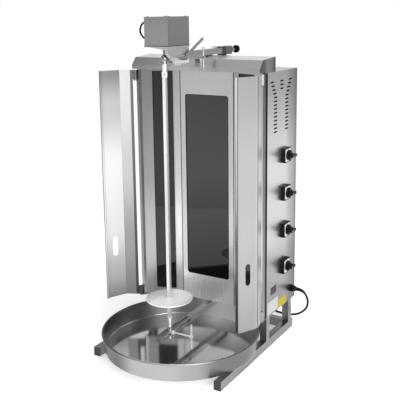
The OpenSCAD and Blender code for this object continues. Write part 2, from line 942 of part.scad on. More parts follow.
module output_bearing() {
    top = box_z0 - carriage_t;
    color(dark) difference() {
        rod_z(14, top - 6, top, 0, -spit_y);
        rod_z(shaft_r + 0.05, top - 7, top + 1, 0, -spit_y);
    }
}

// Motor lead that loops out of the box and back in lower down
lead_r = 3;
lead_exit_y = -spit_y + 1;
lead_exit_z = box_z0 + 76;
lead_drop = 54;
cable_path = [[5, 0, 0], [-4, 0, 0], [-13, 0, -2], [-22, 0, -8], [-28, 0, -17], [-30, 0, -27],
              [-28, 0, -37], [-22, 0, -46], [-13, 0, -52], [-4, 0, -lead_drop], [5, 0, -lead_drop]];
module motor_cable() {
    color(black) translate([box_x0, lead_exit_y, lead_exit_z])
        tube_along(smooth(cable_path, 3), lead_r, 8);
}

// Screw with a sliding cross bar that clamps the carriage to the bar
lever_x = carriage_in + carriage_t + 0.1;
lever_hub = 11;
grip_x = 105;
grip_low = 40;
grip_high = 34;
grip_r = 3.6;
module clamp_screw() {
    color(bright) translate([0, screw_y, screw_z]) union() {
        rod_x(clamp_r, bar_w / 2 + 0.1, grip_x + 1, 0, 0, $fn = 32);
        translate([lever_x + lever_hub + 0.1, 0, 0]) rotate([0, 90, 0])
            cylinder(r = 7.5, h = 6, $fn = 6);
        rod_x(6, grip_x - 6, grip_x + 6, 0, 0, $fn = 32);
        rod_z(grip_r, -grip_low, grip_high, grip_x, 0, $fn = 24);
    }
}

// Lever that swings on the clamp screw
lever_l = 124;
lever_tilt = 25.7;
lever_r = 4.5;
module lock_lever() {
    color(dark) translate([lever_x, screw_y, screw_z]) rotate([lever_tilt, 0, 0]) difference() {
        union() {
            rod_x(9, 0, lever_hub, 0, 0, $fn = 32);
            rod_y(lever_r, 6, lever_l, lever_hub - lever_r, 0, $fn = 24);
        }
        rod_x(clamp_r + 0.05, -1, lever_hub + 1, 0, 0, $fn = 32);
    }
}

// Output shaft with the bell that grips the top of the spit
shaft_r = 4.5;
tang = 9;
thumb_r = 2;
thumb_z = 5;
module drive_bell() {
    hole = tang + 0.1;
    color(bright) translate([0, -spit_y, bell_z]) difference() {
        union() {
            rod_z(shaft_r, 28, box_z0 - bell_z + 12, 0, 0, $fn = 32);
            intersection() {
                translate([0, 0, 18]) sphere(r = 11.5);
                rod_z(12, 8, 28.5, 0, 0);
            }
            rod_z(8, 0, 10, 0, 0, $fn = 32);
        }
        translate([-hole / 2, -hole / 2, -1]) cube([hole, hole, 15]);
        rod_x(thumb_r + 0.05, -12, 0, 0, thumb_z, $fn = 24);
    }
}

module thumb_screw() {
    color(bright) translate([0, -spit_y, bell_z + thumb_z]) union() {
        rod_x(thumb_r, -12, -tang / 2 - 0.1, 0, 0, $fn = 24);
        rod_x(4, -13, -8.2, 0, 0, $fn = 24);
        box(-22, -12.9, -1.2, 1.2, -5, 5);
    }
}

// Round head of the spit, with a square tang above and a slotted collar below
collar_h = 17;
neck_h = 23;
head_foot = bell_z - neck_h - collar_h;
module spit_head() {
    color(bright) translate([0, -spit_y, bell_z]) difference() {
        union() {
            rod_z(6.5, -neck_h - 0.1, 0, 0, 0, $fn = 32);
            translate([-tang / 2, -tang / 2, -0.1]) cube([tang, tang, 12]);
            rod_z(9, -neck_h - collar_h, -neck_h, 0, 0, $fn = 32);
        }
        rotate([0, 0, 40]) box(-1.5, 1.5, -12, 12, 3 - neck_h - collar_h, -neck_h - 3);
    }
}

// Square spit with its tapered foot, ball and pivot pin
module spit_shaft() {
    s = spit_side / 2;
    color(white) translate([0, -spit_y, 0]) union() {
        box(-s, s, -s, s, 152.9, head_foot);
        translate([0, 0, 131.9]) cylinder(r1 = 3.6, r2 = s, h = 21.1);
        rod_z(2.5, 78, 132, 0, 0, $fn = 32);
        intersection() {
            translate([0, 0, 122]) sphere(r = 5, $fn = 32);
            rod_z(6, 118.1, 130, 0, 0);
        }
    }
}

// Meat disc with its hub underneath
module meat_disc() {
    hole = spit_side + 0.1;
    color(bright) translate([0, -spit_y, 0]) difference() {
        union() {
            rod_z(disc_d / 2, disc_top - 3, disc_top, 0, 0, $fn = 96);
            rod_z(16, disc_top - 17, disc_top - 2.9, 0, 0);
            rod_x(3.5, 14, 26, 0, disc_top - 10, $fn = 24);
        }
        translate([-hole / 2, -hole / 2, disc_top - 18]) cube([hole, hole, 20]);
    }
}

// Slotted square arm under the cabinet
module lower_arm() {
    r = arm_w / 2;
    w = arm_wall;
    color(steel) union() {
        difference() {
            box(-r, r, arm_front, arm_back, arm_z, arm_z + arm_w);
            box(-r + w, r - w, arm_front + 5, arm_back + 1, arm_z + w, arm_z + arm_w - w);
            box(-arm_slot / 2, arm_slot / 2, slot_front, slot_back, arm_z - 1, arm_z + arm_w + 1);
            box(0, r + 1, slot_front, slot_back, lower_screw_z - 4, lower_screw_z + 4);
        }
        for (y = [100, 205]) {
            box(-r, r, y, y + 20, arm_z + arm_w - 0.1, floor_z);
        }
    }
}

// Block that slides in the arm and holds the foot of the spit
module lower_bearing() {
    r = arm_w / 2 - arm_wall - 0.1;
    top = arm_z + arm_w;
    color("goldenrod") translate([0, -spit_y, 0]) difference() {
        union() {
            box(-r, r, -15, 15, arm_z + arm_wall + 0.1, top - arm_wall - 0.1);
            box(-arm_slot / 2 + 0.1, arm_slot / 2 - 0.1, -7, 7, top - arm_wall - 0.2, top + 0.2);
            rod_z(8, top + 0.1, 118, 0, 0, $fn = 32);
        }
        rod_z(2.55, arm_z, 120, 0, 0, $fn = 32);
        rod_x(3.05, 4, 12, 0, lower_screw_z, $fn = 32);
    }
}

// Screw with a cross bar that clamps the block in the arm
module lower_clamp() {
    color(bright) translate([0, -spit_y, 0]) union() {
        rod_x(3, 4, 84, 0, lower_screw_z, $fn = 32);
        rod_x(7, arm_w / 2 + 0.1, arm_w / 2 + 5, 0, lower_screw_z, $fn = 32);
        rod_x(5.5, 79, 89, 0, lower_screw_z, $fn = 32);
        rod_z(grip_r, 60, 145, 84, 0, $fn = 24);
    }
}

// Round drip pan with a rolled rim
pan_gap = 3.4;
pan_y = front_y - pan_gap - sqrt(pow(pan_r, 2) - pow(half_w - tube_w, 2));
pan_t = 1.2;
roll_r = 3.5;
module drip_pan() {
    wall_top = pan_r - 2 * roll_r + 1;
    wall_low = wall_top - 5;
    z = pan_top - roll_r;
    color(bright) translate([0, pan_y, 0]) rotate_extrude($fn = 144) union() {
        polygon([[0, rail_h], [wall_low, rail_h], [wall_top, z], [wall_top - pan_t, z],
                 [wall_low - pan_t, rail_h + pan_t], [0, rail_h + pan_t]]);
        translate([pan_r - roll_r, z]) circle(r = roll_r, $fn = 24);
    }
}

left_stand();
right_stand();
rear_cross_tube();
rail_end_caps();
left_side_panel();
right_side_panel();
rear_panel();
floor_panel();
roof_panel();
hood();
centre_panel();
left_wing_panel();
right_wing_panel();
centre_glass();
left_glass();
right_glass();
upper_heater();
lower_heater();
left_heater();
right_heater();
heat_shield();
terminal_block();
switch_boxes();
top_knob();
second_knob();
third_knob();
bottom_knob();
cable_gland();
mains_cord();
cord_coil();
plug_tail();
cord_tie();
mains_plug();
blank_labels();
panel_screws();
hinge_pins();
left_door();
right_door();
slide_bar();
bar_supports();
draw_screw();
tail_knob();
carriage();
slide_sleeve();
motor_box();
motor_box_screws();
gear_motor();
output_bearing();
motor_cable();
clamp_screw();
lock_lever();
drive_bell();
thumb_screw();
spit_head();
spit_shaft();
meat_disc();
lower_arm();
lower_bearing();
lower_clamp();
drip_pan();
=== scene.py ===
import math

import bpy
from mathutils import Matrix, Vector


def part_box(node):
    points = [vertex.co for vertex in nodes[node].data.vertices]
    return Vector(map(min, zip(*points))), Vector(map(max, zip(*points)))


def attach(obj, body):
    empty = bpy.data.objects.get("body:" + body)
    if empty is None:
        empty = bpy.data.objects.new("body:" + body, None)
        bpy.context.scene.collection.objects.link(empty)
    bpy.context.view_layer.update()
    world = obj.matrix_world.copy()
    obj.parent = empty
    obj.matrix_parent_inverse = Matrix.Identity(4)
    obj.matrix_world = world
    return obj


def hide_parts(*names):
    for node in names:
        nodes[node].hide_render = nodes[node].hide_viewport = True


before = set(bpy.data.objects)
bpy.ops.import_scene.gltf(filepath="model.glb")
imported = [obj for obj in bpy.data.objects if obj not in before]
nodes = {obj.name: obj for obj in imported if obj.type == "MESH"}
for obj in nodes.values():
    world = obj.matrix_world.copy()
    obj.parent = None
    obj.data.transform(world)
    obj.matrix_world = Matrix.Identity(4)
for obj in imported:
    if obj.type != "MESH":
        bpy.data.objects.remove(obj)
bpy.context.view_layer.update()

SIDES = ((1, "right"), (-1, "left"))

# Cabinet in metres: half its width, the centre panel's front and half width, the wings' angle
HALF_W = 0.25
CENTRE_Y = 0.083
CENTRE_HALF = 0.107
WING_ANGLE = math.radians(19.85)
PANEL_Z = (0.1225, 0.9610)

# Front posts of the two sides, and the outer face of the right one
POST_Y = (0.0430, 0.0516)
POST_Z = (0.1200, 0.9600)
POST_FACE_X = 0.2496

# Windows: size and middle height of the centre one, place along the wing and ends of the others
CENTRE_WINDOW = (0.1712, 0.6602)
CENTRE_WINDOW_Z = 0.5455
SIDE_WINDOW_W = 0.0734
SIDE_WINDOW_ALONG = 0.064
SIDE_WINDOW_Z = (0.147, 0.9555)

# Cooling slots: two leaning rows and a short one between them, from the top down
VENT_ROWS = 14
VENT_LEANING = 4
VENT_SHORT = 3
VENT_TOP_Z = 0.929
VENT_PITCH = 0.013
VENT_LEAN = 0.007055
VENT_YS = (0.114, 0.163, 0.205)
VENT_SIZE = (0.024, 0.004)

# Thin black sheets of painted shade: strips where the posts meet the sides, and a sheet behind the
# cooling slots
SHADE_SHEET_THICK = 0.0006
SLOT_SHADE_DEPTH = 0.0030
SLOT_SHADE_Y = (0.072, 0.272)
SLOT_SHADE_Z = (0.745, 0.945)

# Switches on the right side
SWITCH_Y = 0.187
SWITCH_ZS = [0.670, 0.536, 0.402, 0.268]
SWITCH_FACE = HALF_W + 0.015
FACE_SIZE = 0.043
FACE_THICK = 0.00025
TICK_START = 0.0200
TICK_LONG = 0.0045
KNOB_FACE = HALF_W + 0.0411
POINTER_INSETS = (0.0155, 0.011, 0.006)

# Doors: the left one's bend, free edge and hinge edge, and the end of the right one's hem
LEAF_BEND_X = -0.3005
FREE_EDGE_X = -0.3328
HINGE_EDGE_X = -0.2668
HEM_END_X = 0.2261

# Motor box, hood end, pan and spit
BOX_X = (-0.060, 0.030)
BOX_Y = (-0.195, -0.073)
BOX_Z = (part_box("motor_box")[0][2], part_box("motor_box")[1][2])
HOOD_END_X = 0.2492
PAN_AXIS = (0, -0.1081, 0)
PAN_FLOOR_Z = 0.0318
SPIT_AXIS = (0, -0.175, 0)

# Mains lead: gland, height of its middle on the worktop, tied coil, and strain relief
GLAND = Vector((HALF_W + 0.022, 0.258, 0.156))
CORD_R = 0.004
FLOOR_CORD = 0.0042
COIL = Vector((0.020, 0.418, 0))
COIL_R = 0.044
COIL_TURNS = 5
COIL_PITCH = 0.0086
COIL_STEPS = 36
CURVE_STEPS = 5
BOOT_LONG = 0.036
BOOT_R = 0.0070
BOOT_STEP = 0.0015
BOOT_TAPER = 0.34
BOOT_RIB = 0.05


def make_camera():
    """The photograph's view: a 65 mm lens from the front right, a little above the top."""
    azimuth = math.radians(30.8913)
    elevation = math.radians(10.9247)
    roll = math.radians(-0.7084)
    distance = 2.4979
    target = Vector((0, 0.0361, 0.6898))
    back = Vector((math.sin(azimuth) * math.cos(elevation),
                   -math.cos(azimuth) * math.cos(elevation),
                   math.sin(elevation)))
    right = Vector((math.cos(azimuth), math.sin(azimuth), 0))
    up = back.cross(right)
    tilted_right = right * math.cos(roll) + up * math.sin(roll)
    tilted_up = up * math.cos(roll) - right * math.sin(roll)
    data = bpy.data.cameras.new("camera")
    data.sensor_width = 36
    data.lens = 64.88
    data.shift_y = -0.125
    cam = bpy.data.objects.new("camera", data)
    bpy.context.scene.collection.objects.link(cam)
    turn = Matrix((tilted_right, tilted_up, back)).transposed().to_4x4()
    cam.matrix_world = Matrix.Translation(target + back * distance) @ turn
    bpy.context.scene.camera = cam


def smoothed(points, steps):
    """A smooth curve through the points, with the same blend that the part's source uses."""
    out = []
    last = len(points) - 1
    for i in range(last):
        a, b = points[max(i - 1, 0)], points[i]
        c, d = points[i + 1], points[min(i + 2, last)]
        for k in range(steps):
            t = k / steps
            out.append(0.5 * (2 * b + (c - a) * t + (2 * a - 5 * b + 4 * c - d) * t * t
                              + (3 * b - a - 3 * c + d) * t * t * t))
    return out + [points[-1]]


def millimetres(rows):
    """Points in metres from rows in millimetres."""
    return [Vector(row) * 0.001 for row in rows]


def lead_route():
    """Free stretch down to the worktop, tied coil behind the cabinet, last stretch to the plug."""
    coil_start = COIL.y - COIL_R
    coil_top = FLOOR_CORD + COIL_TURNS * COIL_PITCH
    coil_in = Vector((COIL.x + 2 * CORD_R, coil_start, FLOOR_CORD))
    coil_out = Vector((COIL.x - 2 * CORD_R, coil_start, coil_top))
    free = millimetres([(273, 258, 156), (289, 259, 154), (302, 261, 146), (310, 265, 132),
                        (312, 271, 115), (309, 279, 97), (301, 289, 79), (289, 300, 62),
                        (273, 311, 46), (254, 322, 31), (231, 333, 19), (205, 343, 10),
                        (176, 352, 5.6), (146, 359, 4.3), (115, 365, 4.2), (85, 370, 4.2),
                        (56, 373, 4.2)])
    route = [GLAND] + smoothed(free + [coil_in], CURVE_STEPS)
    for i in range(COIL_STEPS * COIL_TURNS + 1):
        a = math.radians(-90 - 360 / COIL_STEPS * i)
        route.append(Vector((COIL.x + COIL_R * math.cos(a), COIL.y + COIL_R * math.sin(a),
                             FLOOR_CORD + COIL_PITCH * i / COIL_STEPS)))
    tail = millimetres([(-20, 374, 47.2), (-50, 376, 38), (-78, 379, 27), (-104, 381, 20),
                        (-130, 382, 18), (-144, 382, 18)])
    return route + smoothed([coil_out] + tail, CURVE_STEPS)


def link(name, mesh, body="base"):
    """New object that rides on a body."""
    obj = bpy.data.objects.new(name, mesh)
    bpy.context.scene.collection.objects.link(obj)
    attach(obj, body)
    return obj


def tube(name, points, radius, body="base", closed=False, radii=None, sides=10):
    """Round mesh tube along points; radii scales it point by point."""
    count = len(points)
    last = count - 1
    side = None
    verts, faces = [], []
    for i, p in enumerate(points):
        before = points[i - 1] if closed else points[max(i - 1, 0)]
        after = points[(i + 1) % count] if closed else points[min(i + 1, last)]
        way = (after - before).normalized()
        side = way.orthogonal() if side is None else side - way * side.dot(way)
        side.normalize()
        other = way.cross(side)
        r = radius * (radii[i] if radii else 1)
        for k in range(sides):
            a = 2 * math.pi * k / sides
            verts.append(p + (side * math.cos(a) + other * math.sin(a)) * r)
    for i in range(count if closed else last):
        j = (i + 1) % count
        for k in range(sides):
            n = (k + 1) % sides
            faces.append([i * sides + k, i * sides + n, j * sides + n, j * sides + k])
    if not closed:
        faces += [list(range(sides))[::-1], list(range(last * sides, count * sides))]
    mesh = bpy.data.meshes.new(name)
    mesh.from_pydata(verts, [], faces)
    mesh.shade_smooth()
    mesh.set_sharp_from_angle(angle=math.radians(50))
    return link(name, mesh, body)


def evenly(points, step, reach):
    """Points a fixed step apart along the start of a route."""
    out = [points[0]]
    at, gone = 0, 0
    for a, b in zip(points, points[1:]):
        run = (b - a).length
        while at + step <= gone + run and at + step <= reach:
            at += step
            out.append(a.lerp(b, (at - gone) / run))
        gone += run
    return out


def make_cords():
    """The mains lead with its tapered, ribbed strain relief."""
    route = lead_route()
    lead = tube("mains_lead", route, CORD_R)
    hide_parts("mains_cord", "cord_coil", "plug_tail")
    boot_route = evenly(route, BOOT_STEP, BOOT_LONG)
    radii = []
    for i in range(len(boot_route)):
        rib = BOOT_RIB * math.cos(i * math.pi / 2)
        radii.append(1 - BOOT_TAPER * i / len(boot_route) + rib)
    boot = tube("strain_relief", boot_route, BOOT_R, radii=radii, sides=16)
    return lead, boot


def shader_of(mat):
    """The surface shader of a material."""
    return mat.node_tree.nodes["Principled BSDF"]


def material(name, colour, metallic, rough, **sockets):
    """Plain material; further shader values are given by name."""
    mat = bpy.data.materials.new(name)
    mat.use_nodes = True
    shader = shader_of(mat)
    shader.inputs["Base Color"].default_value = (*colour, 1)
    shader.inputs["Metallic"].default_value = metallic
    shader.inputs["Roughness"].default_value = rough
    for key, value in sockets.items():
        shader.inputs[key.replace("_", " ")].default_value = value
    return mat


def object_place(tree):
    """Place on the object, in metres."""
    return tree.nodes.new("ShaderNodeTexCoord").outputs["Object"]


def part_of(tree, vector, axis):
    """One axis of a vector."""
    parts = tree.nodes.new("ShaderNodeSeparateXYZ")
    tree.links.new(vector, parts.inputs[0])
    return parts.outputs[axis]


def vector_math(tree, operation, first, second=None):
    """Result of a vector operation; the second operand is a socket or three numbers."""
    node = tree.nodes.new("ShaderNodeVectorMath")
    node.operation = operation
    tree.links.new(first, node.inputs[0])
    if isinstance(second, tuple):
        node.inputs[1].default_value = second
    elif second is not None:
        tree.links.new(second, node.inputs[1])
    single = operation in ("DOT_PRODUCT", "LENGTH")
    return node.outputs["Value" if single else "Vector"]


def mapped(tree, value, low, high, to_low=0.0, to_high=1.0, shape="LINEAR"):
    """A value moved from one range to another and held at its ends."""
    span = tree.nodes.new("ShaderNodeMapRange")
    span.interpolation_type = shape
    span.inputs["From Min"].default_value = low
    span.inputs["From Max"].default_value = high
    span.inputs["To Min"].default_value = to_low
    span.inputs["To Max"].default_value = to_high
    tree.links.new(value, span.inputs["Value"])
    return span.outputs["Result"]


def grey_ramp(tree, value, stops, blend="LINEAR"):
    """Grey levels at stops along a value between 0 and 1."""
    ramp = tree.nodes.new("ShaderNodeValToRGB")
    band = ramp.color_ramp
    band.interpolation = blend
    for _ in stops[2:]:
        band.elements.new(0.5)
    for element, (at, grey) in zip(band.elements, stops):
        element.position = at
        element.color = (grey, grey, grey, 1)
    tree.links.new(value, ramp.inputs["Fac"])
    return ramp.outputs["Color"]


def tone_along(tree, axis, stops):
    """Factor that changes smoothly along one axis; stops are places in metres with factors."""
    start, end = stops[0][0], stops[-1][0]
    value = mapped(tree, part_of(tree, object_place(tree), axis), start, end)
    return grey_ramp(tree, value, [((at - start) / (end - start), grey) for at, grey in stops], "EASE")


def chosen(tree, axis, limit, below, above):
    """One factor below a place on an axis and another above it, each a socket or a number."""
    switch = tree.nodes.new("ShaderNodeMath")
    switch.operation = "GREATER_THAN"
    switch.inputs[1].default_value = limit
    tree.links.new(part_of(tree, object_place(tree), axis), switch.inputs[0])
    mix = tree.nodes.new("ShaderNodeMix")
    tree.links.new(switch.outputs[0], mix.inputs["Factor"])
    for socket, factor in (("A", below), ("B", above)):
        if isinstance(factor, float):
            mix.inputs[socket].default_value = factor
        else:
            tree.links.new(factor, mix.inputs[socket])
    return mix.outputs["Result"]


def both(tree, first, second):
    """Product of two factors."""
    product = tree.nodes.new("ShaderNodeMath")
    product.operation = "MULTIPLY"
    tree.links.new(first, product.inputs[0])
    tree.links.new(second, product.inputs[1])
    return product.outputs[0]


def facing_out(tree, centre, inner, outer):
    """Factor for faces that look away from an upright axis, and another for the rest."""
    away = vector_math(tree, "SUBTRACT", object_place(tree), centre)
    level = vector_math(tree, "MULTIPLY", away, (1, 1, 0))
    normal = tree.nodes.new("ShaderNodeNewGeometry").outputs["Normal"]
    outward = vector_math(tree, "DOT_PRODUCT", level, normal)
    return mapped(tree, outward, low=0.02, high=0.12, to_low=inner, to_high=outer)


def spun_coordinates(tree, place, centre):
    """Radius and height about an upright axis, so that noise runs in rings."""
    moved = vector_math(tree, "SUBTRACT", place, centre)
    radius = vector_math(tree, "LENGTH", vector_math(tree, "MULTIPLY", moved, (1, 1, 0)))
    rings = tree.nodes.new("ShaderNodeCombineXYZ")
    tree.links.new(radius, rings.inputs["X"])
    tree.links.new(part_of(tree, moved, "Z"), rings.inputs["Z"])
    return rings.outputs[0]


# Noise runs mostly between the first two; bumps are in metres; no surface is a perfect mirror
NOISE_LOW = 0.3
NOISE_HIGH = 0.7
GRAIN_HEIGHT = 0.0004
LEAST_ROUGH = 0.02


def add_texture(mat, scale, rough, spread, tone, depth, spun_at=None):
    """Stretched noise on colour, roughness and bump: brushed grain, or fine moulded texture."""
    tree = mat.node_tree
    shader = shader_of(mat)
    place = object_place(tree)
    if spun_at:
        place = spun_coordinates(tree, place, spun_at)
    mapping = tree.nodes.new("ShaderNodeMapping")
    mapping.inputs["Scale"].default_value = scale
    tree.links.new(place, mapping.inputs["Vector"])
    noise = tree.nodes.new("ShaderNodeTexNoise")
    noise.inputs["Scale"].default_value = 1.0
    noise.inputs["Detail"].default_value = 4.0
    tree.links.new(mapping.outputs["Vector"], noise.inputs["Vector"])
    grain = noise.outputs["Fac"]
    smoothest = max(rough - spread, LEAST_ROUGH)
    gloss = mapped(tree, grain, NOISE_LOW, NOISE_HIGH, smoothest, rough + spread)
    tree.links.new(gloss, shader.inputs["Roughness"])
    base = shader.inputs["Base Color"].default_value[:3]
    ramp = tree.nodes.new("ShaderNodeValToRGB")
    for element, at, change in zip(ramp.color_ramp.elements, (NOISE_LOW, NOISE_HIGH), (-tone, tone)):
        element.position = at
        element.color = (*[min(c * (1 + change), 1) for c in base], 1)
    tree.links.new(grain, ramp.inputs["Fac"])
    tree.links.new(ramp.outputs["Color"], shader.inputs["Base Color"])
    bump = tree.nodes.new("ShaderNodeBump")
    bump.inputs["Strength"].default_value = depth
    bump.inputs["Distance"].default_value = GRAIN_HEIGHT
    tree.links.new(grain, bump.inputs["Height"])
    tree.links.new(bump.outputs["Normal"], shader.inputs["Normal"])
    return mat


def multiply_colour(mat, factor):
    """Scales the colour that reaches the shader by a factor socket."""
    tree = mat.node_tree
    base = shader_of(mat).inputs["Base Color"]
    scaled = tree.nodes.new("ShaderNodeVectorMath")
    scaled.operation = "SCALE"
    tree.links.new(base.links[0].from_socket, scaled.inputs[0])
    tree.links.new(factor, scaled.inputs["Scale"])
    tree.links.new(scaled.outputs[0], base)


def toned(mat, axis, stops):
    """A material whose colour changes along one axis."""
    multiply_colour(mat, tone_along(mat.node_tree, axis, stops))
    return mat


def varied(mat, socket, axis, stops):
    """A material with a shader value, such as roughness, that changes along one axis."""
    tree = mat.node_tree
    tree.links.new(tone_along(tree, axis, stops), shader_of(mat).inputs[socket])
    return mat


# Grain: fine across its strokes and long along them, even all over, or in broad clouds
UPRIGHT = (2200, 2200, 9)
ACROSS = (9, 2200, 2200)
ALONG = (2200, 9, 2200)
EVEN = (700, 700, 700)
CLOUDY = (8, 8, 8)


def steel(name, grey, rough, scale, spread=0.03, tone=0.012, depth=0.012, spun_at=None, metal=1.0):
    """Metal with a grain in its colour, gloss and surface."""
    mat = material(name, (grey, grey, min(grey * 1.01, 1)), metal, rough)
    return add_texture(mat, scale, rough, spread, tone, depth, spun_at)


def moulded(name, colour, rough, spread, tone, depth, scale=EVEN, **sockets):
    """Plastic, paint, rubber or glass with a fine uneven surface."""
    mat = material(name, colour, 0, rough, **sockets)
    return add_texture(mat, scale, rough, spread, tone, depth)


def panel_steel():
    """Brushed centre panel, painted lighter at its foot as light from the pan."""
    # painted light: much lighter at the foot
    return toned(steel("brushed_panel", 0.58, 0.28, UPRIGHT, 0.014, 0.005, 0.004), "Z",
                 [(0.12, 1.70), (0.20, 1.70), (0.24, 1.05), (0.97, 1.0)])


def wing_steel():
    """Brushed wings with painted light and shade: darker towards the top, the right one painted lighter,
    and its outer face painted darker, falling to a dark band of painted shade towards its rear edge.
    """
    mat = steel("brushed_wing", 0.52, 0.28, UPRIGHT)
    tree = mat.node_tree
    # painted shade: darker towards the top
    toned(mat, "Z", [(0.12, 0.98), (0.40, 0.85), (0.60, 0.70), (0.96, 0.54)])
    # painted light: the right wing lighter, its outer face past the post face darker
    toned(mat, "X", [(-0.25, 1.0), (-0.135, 1.0), (-0.125, 1.75), (POST_FACE_X - 0.0008, 1.75),
                     (POST_FACE_X, 0.50)])
    # painted shade: a dark band towards the rear edge of the right post's outer face
    post = tone_along(tree, "Y", [(0.020, 1.0), (0.0355, 0.85), (0.0365, 0.10), (POST_Y[0], 0.10)])
    multiply_colour(mat, chosen(tree, "X", POST_FACE_X, 1.0, post))
    return mat


def left_door_steel():
    """Bright brushed door with painted light and shade: its two leaves painted lighter and darker from
    top to bottom, a dark line of painted shade down its free edge, and painted shade on the inner leaf at
    its hinge edge.
    """
    mat = steel("brushed_left_door", 0.97, 0.32, UPRIGHT, metal=0.30)
    tree = mat.node_tree
    # painted light: each leaf lighter and darker from top to bottom
    outer = tone_along(tree, "Z", [(0.12, 0.33), (0.22, 0.56), (0.38, 0.92), (0.62, 1), (0.84, 0.60),
                                   (0.96, 0.28)])
    inner = tone_along(tree, "Z", [(0.12, 0.24), (0.34, 0.32), (0.62, 0.60), (0.80, 0.74), (0.96, 0.80)])
    # painted shade: a dark line down the free edge
    free_edge = tone_along(tree, "X", [(FREE_EDGE_X - 0.001, 0.03), (FREE_EDGE_X, 0.03),
                                       (FREE_EDGE_X + 0.0014, 0.03), (FREE_EDGE_X + 0.0018, 1),
                                       (-0.25, 1)])
    # painted shade: the inner leaf dark at its hinge edge
    hinge_edge = tone_along(tree, "X", [(-0.30, 1), (HINGE_EDGE_X - 0.0004, 1),
                                        (HINGE_EDGE_X + 0.0004, 0.22), (-0.25, 0.22)])
    leaves = chosen(tree, "X", LEAF_BEND_X, both(tree, outer, free_edge), both(tree, inner, hinge_edge))
    multiply_colour(mat, leaves)
    return mat


def right_door_steel():
    """Brushed door with painted light: lighter towards its top, and its hemmed free edge and its bend
    painted as lighter and darker lines of highlight and shade.
    """
    mat = steel("brushed_right_door", 0.50, 0.32, UPRIGHT, metal=0.80)
    tree = mat.node_tree
    # painted light: the hem lighter towards the top, crossed by lines of painted highlight and shade
    hem_height = tone_along(tree, "Z", [(0.12, 0.18), (0.40, 0.25), (0.62, 1.05), (0.96, 1.60)])
    hem_lines = tone_along(tree, "X", [(0.2138, 0.35), (0.2165, 0.50), (0.2180, 1.15), (0.2225, 1.20),
                                       (0.2240, 0.35), (HEM_END_X - 0.0001, 0.45)])
    # painted light on the face, with painted highlight and shade lines at its edges
    face_height = tone_along(tree, "Z", [(0.12, 0.62), (0.30, 0.76), (0.50, 0.92), (0.70, 1.0),
                                         (0.96, 0.84)])
    face_lines = tone_along(tree, "X", [(HEM_END_X + 0.0001, 0.55), (0.2285, 1.0), (0.2575, 1.0),
                                        (0.2600, 1.15), (0.2618, 0.55)])
    multiply_colour(mat, chosen(tree, "X", HEM_END_X, both(tree, hem_lines, hem_height),
                                both(tree, face_lines, face_height)))
    return mat


def box_steel():
    """Brushed motor box with painted light and shade: its right face painted darker than its front, and
    its front a little lighter towards its foot.
    """
    mat = steel("brushed_box", 0.375, 0.38, UPRIGHT)
    tree = mat.node_tree
    # painted light on the front; the right face gets painted shade
    front = tone_along(tree, "Z", [(1.02, 1.06), (1.10, 1.0), (1.15, 0.94)])
    multiply_colour(mat, chosen(tree, "X", BOX_X[1] - 0.0002, front, 0.74))
    return mat


def side_steel():
    """Brushed sides with painted light and shade: the left one painted a little darker, and the right one
    painted darker towards its foot and its rear edge, lightest a little above its middle.
    """
    mat = steel("brushed_side", 0.56, 0.34, UPRIGHT)
    tree = mat.node_tree
    # painted light and shade by height and towards the rear edge
    height = tone_along(tree, "Z", [(0.11, 0.46), (0.26, 0.60), (0.44, 1.08), (0.66, 1.20), (0.96, 0.80)])
    depth = tone_along(tree, "Y", [(0.052, 1.0), (0.19, 1.0), (0.25, 0.64), (0.292, 0.34)])
    multiply_colour(mat, chosen(tree, "X", 0, 0.90, both(tree, height, depth)))
    return mat


def pan_steel():
    """Spun pan: polished floor, dull inside wall and a darker outside; the floor is painted lighter, the
    wall has painted light brightest in its middle, and the outside is painted darker as shade.
    """
    mat = steel("spun_pan", 0.58, 0.12, EVEN, 0.03, 0.02, 0.02, PAN_AXIS)
    tree = mat.node_tree
    # painted shade: the outside darker
    multiply_colour(mat, facing_out(tree, PAN_AXIS, 1.0, 0.42))
    # painted light: the inside wall lighter in its middle, and the floor lighter
    wall = tone_along(tree, "X", [(-0.27, 0.25), (-0.21, 0.27), (-0.15, 0.32), (-0.10, 0.52), (0, 1.70),
                                  (0.10, 1.72), (0.17, 1.40), (0.24, 0.69), (0.27, 0.66)])
    multiply_colour(mat, chosen(tree, "Z", PAN_FLOOR_Z, 1.6, wall))
    return varied(mat, "Roughness", "Z", [(PAN_FLOOR_Z - 0.0006, 0.10), (PAN_FLOOR_Z, 0.30),
                                          (0.050, 0.36), (0.092, 0.30)])


def hood_steel():
    """Brushed hood with painted light and shade: its top painted lighter, the rest lighter a little left
    of its middle, and its end plate painted darker towards its edges.
    """
    mat = steel("brushed_hood", 0.44, 0.20, ACROSS)
    tree = mat.node_tree
    # painted light: the top lighter, and lighter a little left of the middle
    height = tone_along(tree, "Z", [(0.966, 1.0), (0.984, 0.95), (1.0055, 0.95), (1.0068, 1.5),
                                    (1.02, 1.6)])
    width = tone_along(tree, "X", [(-0.25, 0.70), (-0.15, 0.82), (-0.05, 1.20), (0.10, 1.0),
                                   (0.25, 0.98)])
    # painted shade: the end plate darker towards its edges
    end = tone_along(tree, "Y", [(-0.005, 0.30), (0.022, 0.34), (0.055, 0.80), (0.080, 0.64),
                                 (0.111, 0.18)])
    multiply_colour(mat, chosen(tree, "X", HOOD_END_X, both(tree, height, width), end))
    return mat


def spit_steel():
    """Polished spit that mirrors less at its foot, painted lighter at its foot and towards its top."""
    # painted light: lighter at the foot and towards the top
    mat = toned(steel("polished_spit", 0.84, 0.26, UPRIGHT, metal=0.70), "Z",
                [(0.03, 1.15), (0.15, 1.15), (0.16, 0.84), (0.50, 0.92), (0.80, 1.16), (1.0, 1.16)])
    return varied(mat, "Metallic", "Z", [(0.03, 0.05), (0.150, 0.05), (0.165, 0.70), (1.0, 0.70)])


